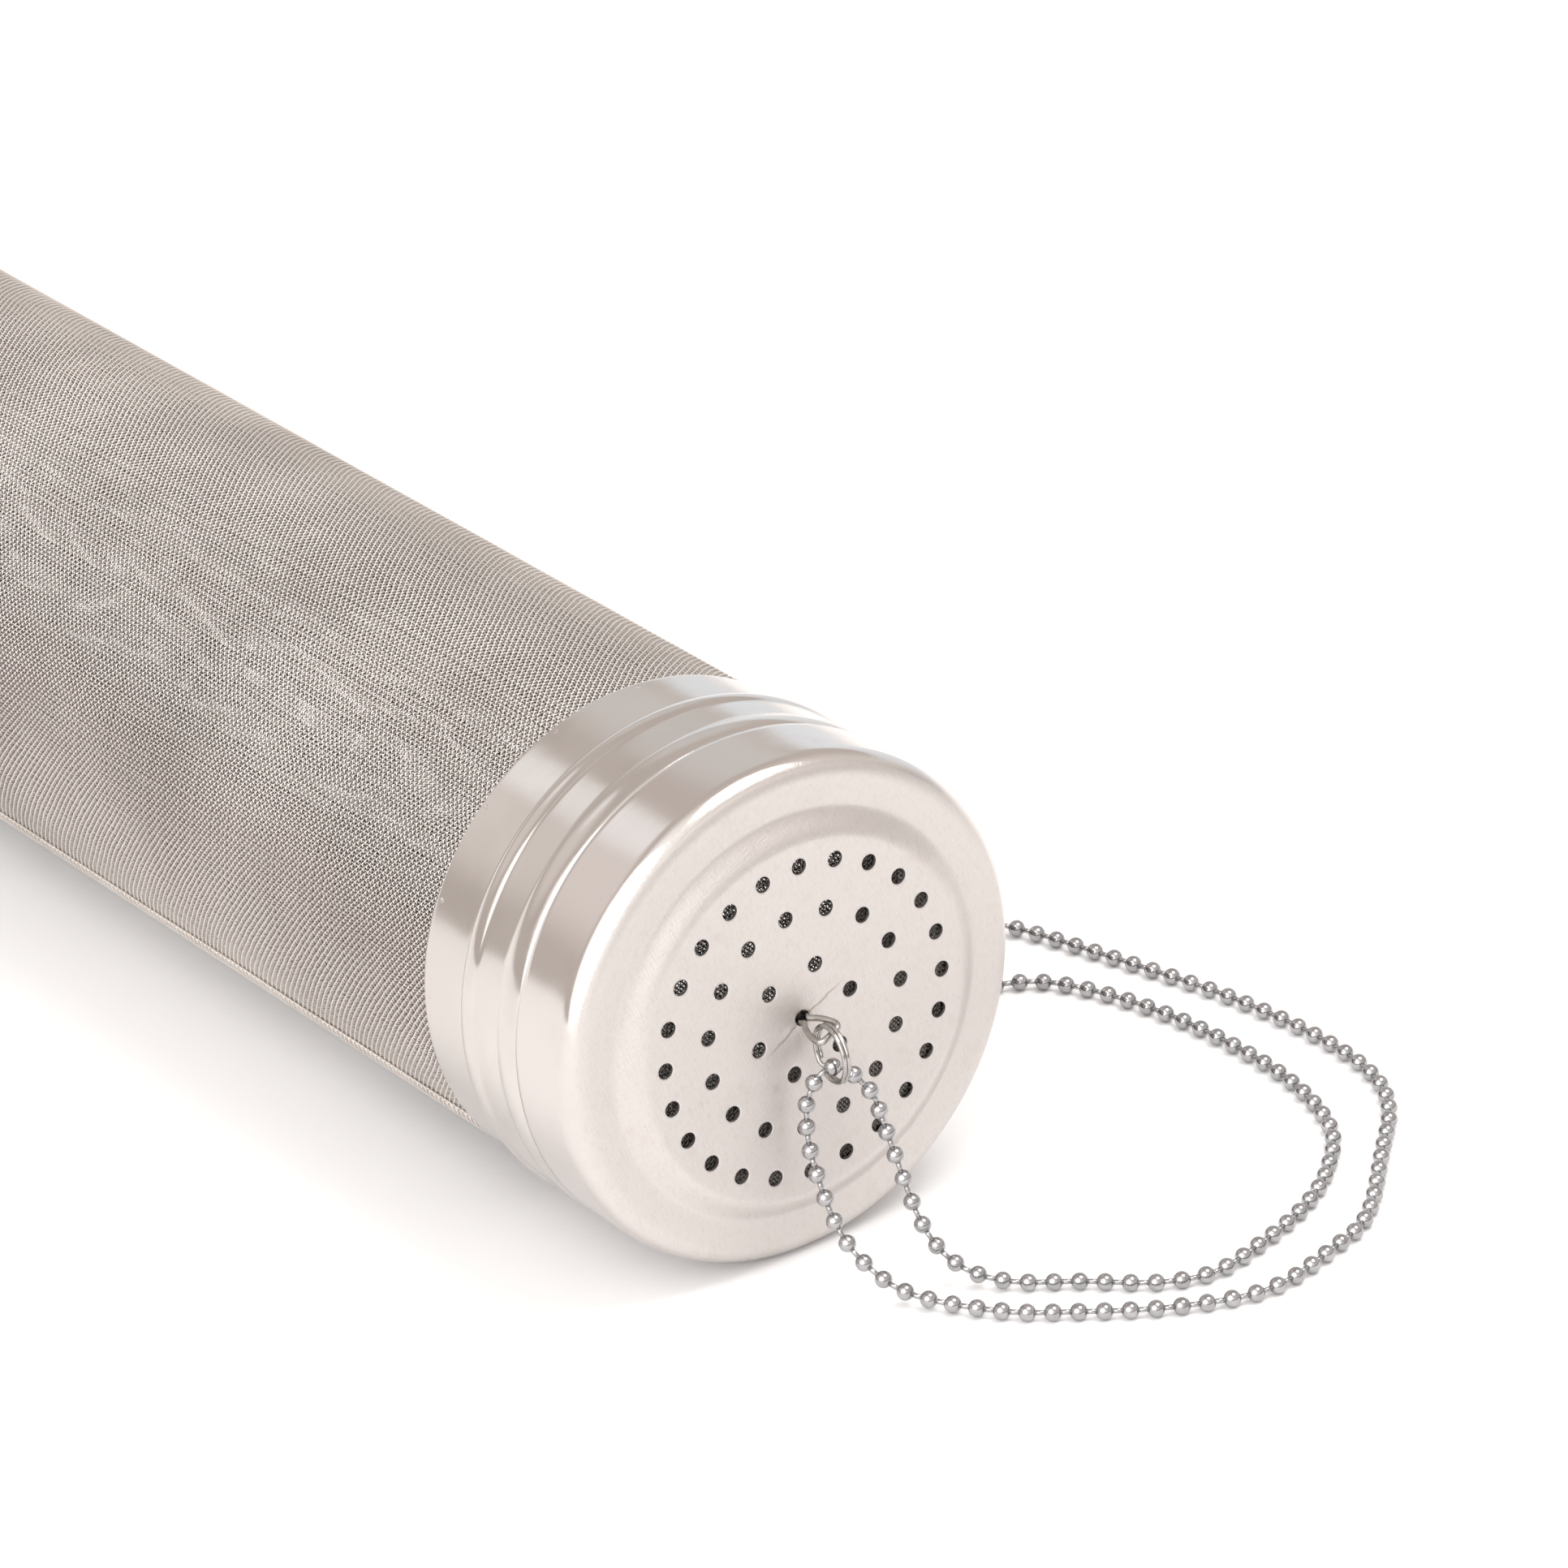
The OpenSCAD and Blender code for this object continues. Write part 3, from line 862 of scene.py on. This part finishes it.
def collar_outline():
    edge = -collar_reach
    outer = [(edge, BAND_R - 0.12), (edge + 0.15, BAND_R - 0.02), (edge + 0.4, BAND_R)]
    outer += [(-28.6, BAND_R), (-28.3, BAND_R + 0.04), (-28.0, BAND_R + 0.2)]
    outer += rib(-26.2, 1.5, 0.32, RIB_R, 10)
    outer += [(-24.4, RIB_R - 0.02)]
    outer += rib(-17.2, 2.1, rest_r - RIB_R, RIB_R, 14)
    outer += [(-14.9, RIB_R - 0.12), (-14.7, RIB_R - 0.2), (-7.0, RIB_R - 0.2), (-6.2, RIB_R - 0.6)]
    return sheet_outline(divided(outer, 0.55), SHEET_T)


collar = turned("collar_band", collar_outline(), 480, face_x, polished_steel, out_of_round)
ride_as(collar, "tube", "polished_sheet", "collar")

# %% [markdown]
# The base cup closes the other end. It is pressed deep enough to hold the cloth's edge, and its floor is
# raised inside a narrow ring, on which the infuser stands. Its outline is turned in the same way, down to
# the middle of the floor.

# %% Base cup


def cup_outline():
    """The cup's outer line from the middle of its floor round to its open edge, and back inside."""
    outer = [(0.9, 0.02), (0.9, 22.8), (0.8, 23.6), (0.3, 24.7), (0.05, 25.4), (0, 26.2)]
    outer += arc(3.4, RIB_R - 3.4, 3.4, 180, 90, 12)
    outer += rib(13.6, 2.1, rest_r - RIB_R, RIB_R, 14)
    outer += [(16.0, BAND_R + 0.25), (16.3, BAND_R + 0.06), (16.8, BAND_R)]
    outer += [(cup_depth - 0.4, BAND_R), (cup_depth - 0.15, BAND_R - 0.02), (cup_depth, BAND_R - 0.12)]
    inner = [(cup_depth, tube_r), (16.6, tube_r), (15.6, RIB_R - 0.5)]
    inner += arc(3.4, RIB_R - 3.4, 2.9, 90, 180, 8) + [(0.5, 26.0), (0.6, 25.0), (1.35, 23.7), (1.4, 0.02)]
    return divided(outer, 1.2) + inner


base_cup = turned("base_cup_shell", cup_outline(), 384, base_x, polished_steel, out_of_round)
ride_as(base_cup, "tube", "polished_sheet", "base_cup")

# %% [markdown]
# The lid is pressed from one disc of sheet. Its wall and rim are turned like the collar, but the raised,
# drilled disc needs real holes, so its flat is triangulated between the rings of holes and then pulled in
# at the middle, where the eye's legs were bent over, with the crease that this left across it.

# %% Lid
LID_T = 0.5
LID_AROUND = 384
HOLE_R = 1.15
HOLE_SIDES = 24
DISC_R = rest_r - 10.8
RIM_R = rest_r - 6.8
EDGE_R = 3.2
RIM_X = -2.1
HOLE_RINGS = ((22.58, 24, 13.2), (15.74, 15, 1.2), (7.82, 6, 13.2))


def hole_centres():
    """Centres of the drilled holes as (y, z) from the axis; the first is the eye's own hole."""
    made = [(0.0, 0.0)]
    for radius, count, first in HOLE_RINGS:
        for i in range(count):
            a = math.radians(first + 360 * i / count)
            made.append((radius * math.cos(a), radius * math.sin(a)))
    return made


def disc_height(y, z):
    """How far the disc's surface stands proud of its flat, in millimetres."""
    along = y * math.cos(CREASE_TURN) + z * math.sin(CREASE_TURN)
    across = z * math.cos(CREASE_TURN) - y * math.sin(CREASE_TURN)
    away = math.hypot(y, z)
    pulled = -0.62 * math.exp(-away / 2.1) - 0.22 * math.exp(-(away / 7.5) ** 2)
    crease = 0.34 * math.exp(-abs(across) / 0.75) - 0.30 * math.exp(-abs(across) / 2.6)
    crease *= math.exp(-(along / 6.4) ** 4)
    slow = 0.09 * noise.noise(Vector((y * 0.11, z * 0.11, 3.7)))
    edge = min(1.0, max(0.0, (DISC_R - away) / 3.0))
    return (pulled + crease + slow) * edge


def disc_triangles():
    """Points (y, z), triangles and hole loops of the drilled disc."""
    centres = hole_centres()
    points, loops = [], []
    for k in range(LID_AROUND):
        a = 2 * math.pi * k / LID_AROUND
        points.append((-DISC_R * math.sin(a), DISC_R * math.cos(a)))
    for cy, cz in centres:
        for radius in (HOLE_R, HOLE_R + 0.1, HOLE_R + 0.35):
            if radius == HOLE_R:
                loops.append([len(points) + k for k in range(HOLE_SIDES)])
            for k in range(HOLE_SIDES):
                a = 2 * math.pi * k / HOLE_SIDES
                points.append((cy + radius * math.cos(a), cz + radius * math.sin(a)))
    radius = 1.9
    while radius < DISC_R - 0.2:
        step = 0.3 if radius < 9 else 0.55
        count = round(2 * math.pi * radius / step)
        for k in range(count):
            a = 2 * math.pi * (k + 0.5 * (round(radius / step) % 2)) / count
            y, z = radius * math.cos(a), radius * math.sin(a)
            if all(math.hypot(y - cy, z - cz) > HOLE_R + 0.55 for cy, cz in centres):
                points.append((y, z))
        radius += step
    edges = [(ring[k], ring[(k + 1) % HOLE_SIDES]) for ring in loops for k in range(HOLE_SIDES)]
    edges += [(k, (k + 1) % LID_AROUND) for k in range(LID_AROUND)]
    found = delaunay_2d_cdt([Vector(p) for p in points], edges, [], 0, 1e-6)
    assert len(found[0]) == len(points)
    kept = []
    for face in found[2]:
        y, z = (sum(points[i][axis] for i in face) / 3 for axis in (0, 1))
        if all(math.hypot(y - cy, z - cz) > HOLE_R * 0.98 for cy, cz in centres):
            kept.append(tuple(face))
    return points, kept, loops


def lid_outline():
    """Outer line of the lid from its open edge to the disc, and the inner line back."""
    edge = -lid_depth
    round_x, round_r = RIM_X - EDGE_R, rest_r - EDGE_R
    step = [(RIM_X, RIM_R), (-2.02, RIM_R - 0.35), (-1.8, RIM_R - 0.8), (-1.45, RIM_R - 1.35),
            (-1.0, RIM_R - 2.0), (-0.55, RIM_R - 2.65), (-0.22, RIM_R - 3.25), (-0.06, RIM_R - 3.7),
            (0, DISC_R)]
    outer = [(edge, rest_r - 0.1), (edge + 0.12, rest_r)] + arc(round_x, round_r, EDGE_R, 90, 2, 18)
    outer += [(RIM_X, round_r - 0.3)] + step
    inner = [(x - LID_T, r - (0.3 if DISC_R < r < RIM_R else 0)) for x, r in reversed(step)]
    inner += arc(round_x, round_r, EDGE_R - LID_T, 0, 90, 12)
    inner += [(edge + 0.12, rest_r - LID_T), (edge, rest_r - 0.4)]
    return divided(outer, 0.8), inner


def rim_bulge(x, r, angle):
    """Slow unevenness of the pressed rim."""
    return 0.05 * noise.noise(Vector((x * 0.2, math.cos(angle) * 2.4, math.sin(angle) * 2.4 + 9)))


def make_lid():
    """The turned wall and rim, closed by the drilled disc in front and its back."""
    outer, inner = lid_outline()
    outline = outer + inner
    points = turned_points(outline, LID_AROUND, face_x,
                           lambda x, r, a: rim_bulge(x, r, a) if r > RIM_R + 0.5 else 0)
    open_ring = len(outer) - 1
    faces = ring_faces(len(outline), LID_AROUND)
    del faces[open_ring * LID_AROUND:(open_ring + 1) * LID_AROUND]
    flat, triangles, loops = disc_triangles()
    front_of, back_of = {}, {}
    for k in range(LID_AROUND):
        front_of[k] = open_ring * LID_AROUND + k
        back_of[k] = (open_ring + 1) * LID_AROUND + k
    rims = {i for ring in loops for i in ring}
    for i, (y, z) in enumerate(flat):
        if i in front_of:
            continue
        height = disc_height(y, z)
        drop = 0.07 if i in rims else 0.0
        front_of[i] = len(points)
        points.append((face_x + (height - drop) * MM, y * MM, axis_z + z * MM))
        back_of[i] = len(points)
        points.append((face_x + (height - LID_T) * MM, y * MM, axis_z + z * MM))
    for a, b, c in triangles:
        faces.append((front_of[a], front_of[b], front_of[c]))
        faces.append((back_of[c], back_of[b], back_of[a]))
    for ring in loops:
        for k in range(HOLE_SIDES):
            a, b = ring[k], ring[(k + 1) % HOLE_SIDES]
            faces.append((front_of[b], front_of[a], back_of[a], back_of[b]))
    return mesh_object("lid_pressing", points, faces, satin_steel, 50)


ride_as(make_lid(), "lid", "satin_sheet", "lid_shell")

# %% [markdown]
# Behind the holes a disc of finer cloth is held by a crimped ring. It only shows through the holes, as a
# dark lattice with light crossings; the dark is painted shade in its wires' colour. It is woven wire all the
# same, made by a tree that lays two crossed sets of wavy wires and drops what lies outside the disc.

# %% Cloth disc in the lid
LID_CLOTH_PITCH = 0.5 * MM
cloth_disc_low, cloth_disc_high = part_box("lid_mesh")
disc_cloth_r = (cloth_disc_high.z - cloth_disc_low.z) / 2
disc_cloth_x = (cloth_disc_low.x + cloth_disc_high.x) / 2


def disc_cloth_tree():
    """Two crossed sets of wavy wires, cut off at the disc's edge."""
    t = Tree("lid_cloth", Wires=2 * round(disc_cloth_r / LID_CLOTH_PITCH), Pitch=LID_CLOTH_PITCH,
             Radius=disc_cloth_r, Wave=0.11 * MM, WireRadius=0.1 * MM, Turn=math.radians(38),
             Metal=lid_cloth_wire)
    half = t["Wires"] * 0.5 * t["Pitch"]
    minus = half * -1
    count = t["Wires"] + 1
    sets = []
    for quarter in (0, 1):
        stations = t.points_in_line(count, t.xyz(y=minus), t.xyz(y=t["Pitch"]))
        real = t.copies(stations, t.straight_line(t.xyz(z=minus), t.xyz(z=half), count))
        waved = t.moved(real, t.xyz(x=t.in_or_out(count, quarter) * t["Wave"]))
        away = t.node("ShaderNodeVectorMath", {"operation": "LENGTH"},
                      {0: t.node("GeometryNodeInputPosition")}, 1)
        kept = t.node("GeometryNodeDeleteGeometry", {"domain": "POINT"},
                      {"Geometry": waved, "Selection": t.maths("GREATER_THAN", away, t["Radius"])})
        solid = wire_section(t, kept, 3)
        angle = t["Turn"] + quarter * math.pi / 2
        sets.append(t.node("GeometryNodeTransform", None,
                           {"Geometry": solid, "Rotation": t.xyz(x=angle),
                            "Translation": (disc_cloth_x, 0, axis_z)}))
    t.finish(t.joined(sets), "Metal")
    return t


ride_as(disc_cloth_tree().make("lid_cloth_disc"), "lid", "lid_cloth", "lid_mesh")

# %% [markdown]
# The retaining ring and the washer are plain rings inside the lid, so their CAD shapes stay and only get
# a duller metal. The eye is one bent wire: two legs through the middle hole, bent over behind the washer,
# and a triangular loop in front.

# %% Inside of the lid, the eye and the split ring
for name in ("lid_retainer", "eye_washer"):
    kept = frame["nodes"][name]
    kept.data.materials.clear()
    kept.data.materials.append(dull_steel)

EYE_WIRE_R = 0.45
EYE_ROLL = math.radians(25)
EYE_HALF = [(-2.7, -3.2), (-2.7, -1.7), (-2.45, -0.75), (-1.7, -0.5), (-0.6, -0.5), (0.3, -0.55),
            (1.5, -1.15), (3.0, -1.6), (4.6, -1.8), (5.45, -1.4)]
RING_R, RING_WIRE_R, RING_DROP, RING_GAP = 3.9, 0.32, 2.8, 0.6
RING_YAW = math.radians(-6)


def eye_route():
    """The eye's bent wire: one leg, the loop with its bar, and the other leg as a mirror of the first."""
    half = [(x, -u) for x, u in reversed(EYE_HALF)]
    flat = EYE_HALF + [(BAR_X, -0.6), (BAR_X, 0.6)] + half
    bent = [(x, u * math.cos(EYE_ROLL), u * math.sin(EYE_ROLL)) for x, u in flat]
    return [(face_x + x * MM, y * MM, axis_z + z * MM) for x, y, z in smooth(bent, 7)]


def ring_route():
    """Nearly two turns side by side; the wire steps across just before its first end."""
    made = []
    first_end, jog_from, jog_to, stop = -118, 336, 358, 692
    for degrees in range(0, stop, 6):
        share = min(1, max(0, (degrees - jog_from) / (jog_to - jog_from)))
        side = (share * share * (3 - 2 * share) - 0.5) * RING_GAP
        a = math.radians(first_end + degrees)
        x, z = RING_R * math.cos(a), RING_R * math.sin(a)
        made.append((face_x + (BAR_X + x * math.cos(RING_YAW) - side * math.sin(RING_YAW)) * MM,
                     (x * math.sin(RING_YAW) + side * math.cos(RING_YAW)) * MM,
                     axis_z + (z - RING_DROP) * MM))
    return made


eye = swept_wire("eye_wire", eye_route(), EYE_WIRE_R * MM, 20, bright_wire)
split_ring = swept_wire("split_ring_wire", ring_route(), RING_WIRE_R * MM, 16, bright_wire)
ride_as(eye, "lid", "bright_wire", "hanger_eye")
ride_as(split_ring, "ring", "bright_wire", "split_ring")

# %% [markdown]
# The studio is a white floor under a pale room. Polished steel shows whatever stands round it. The room
# behind the lid has white walls and a greyer ceiling with bright patches, which give the turned walls their
# grey bands and streaks. The room in front darkens towards its foot and to one side, which draws the step in
# the lid's face. Two soft lamps shape the shadows.

# %% Room, floor and lamps
scene = bpy.context.scene
scene.view_settings.view_transform = "Standard"


def make_room():
    """White walls behind, a greyer ceiling with soft bright patches, a front that darkens at its foot."""
    world = bpy.data.worlds.new("room")
    scene.world = world
    world.use_nodes = True
    shader = Shader(world.node_tree)
    way = shader.node("ShaderNodeTexCoord", output=0)
    x, y, z = (shader.node("ShaderNodeSeparateXYZ", None, {0: way}, i) for i in range(3))

    def glow(direction, wide, narrow):
        """1 within the narrow angle of a direction, falling to 0 at the wide one."""
        to = tuple(Vector(direction).normalized())
        near = shader.node("ShaderNodeVectorMath", {"operation": "DOT_PRODUCT"}, {0: way, 1: to}, 1)
        return near.clamped(math.cos(math.radians(wide)), math.cos(math.radians(narrow)))

    walls = shader.mix(y.clamped(-0.3, 0.4), (1.42, 1.40, 1.38, 1), (1.08, 1.12, 1.16, 1))
    ceiling = shader.mix(glow((-0.736, 0.42, 0.53), 19, 3), (0.77, 0.705, 0.655, 1), (0.89, 0.86, 0.835, 1))
    ceiling = shader.mix(glow((-0.736, -0.40, 0.55), 27, 8), ceiling, (1.06, 0.99, 0.95, 1))
    ceiling = shader.mix(glow((-0.736, -0.17, 0.655), 10, 0), ceiling, (1.30, 1.29, 1.29, 1))
    back = shader.mix((z - y * 0.234).clamped(0.10, 0.15), walls, ceiling)
    front = shader.mix(y.clamped(-0.45, 0.35), (1.50, 1.48, 1.46, 1), (0.98, 0.92, 0.87, 1))
    front = shader.mix(z.clamped(0.08, 0.24), (0.50, 0.47, 0.45, 1), front)
    room = shader.mix(x.clamped(-0.35, 0.15), back, front)
    light = shader.node("ShaderNodeBackground", None, {"Color": room, "Strength": 1.0})
    shader.node("ShaderNodeOutputWorld", None, {"Surface": light})


def make_floor():
    size = 4.0
    points = [(-size, -size, 0), (size, -size, 0), (size, size, 0), (-size, size, 0)]
    material = bpy.data.materials.new("white_floor")
    material.use_nodes = True
    shader = Shader(material.node_tree)
    tone = shader.grain(shader.here(), 0.004, 3.0)
    paint = shader.mix(tone, (0.90, 0.90, 0.91, 1), (0.93, 0.93, 0.93, 1))
    surface = shader.node("ShaderNodeBsdfPrincipled", None, {"Base Color": paint, "Roughness": 0.7})
    shader.node("ShaderNodeOutputMaterial", None, {"Surface": surface})
    floor = mesh_object("floor", points, [(0, 1, 2, 3)], material)


def lamp(name, direction, distance, size, power):
    """A round soft lamp in a direction from the lid, facing it."""
    data = bpy.data.lights.new(name, "AREA")
    data.shape, data.size, data.energy = "DISK", size, power
    made = add_object(name, data)
    target = Vector((face_x - 0.03, 0, axis_z))
    toward = Vector(direction).normalized()
    made.location = target + toward * distance
    made.rotation_mode = "QUATERNION"
    made.rotation_quaternion = toward.to_track_quat("Z", "Y")


make_room()
make_floor()
lamp("high_lamp", (0.25, 0.3, 1.0), 2.0, 1.2, 18)
lamp("front_lamp", (0.35, -1.0, 0.6), 2.2, 3.2, 36)
print("lamps", len(bpy.data.lights))
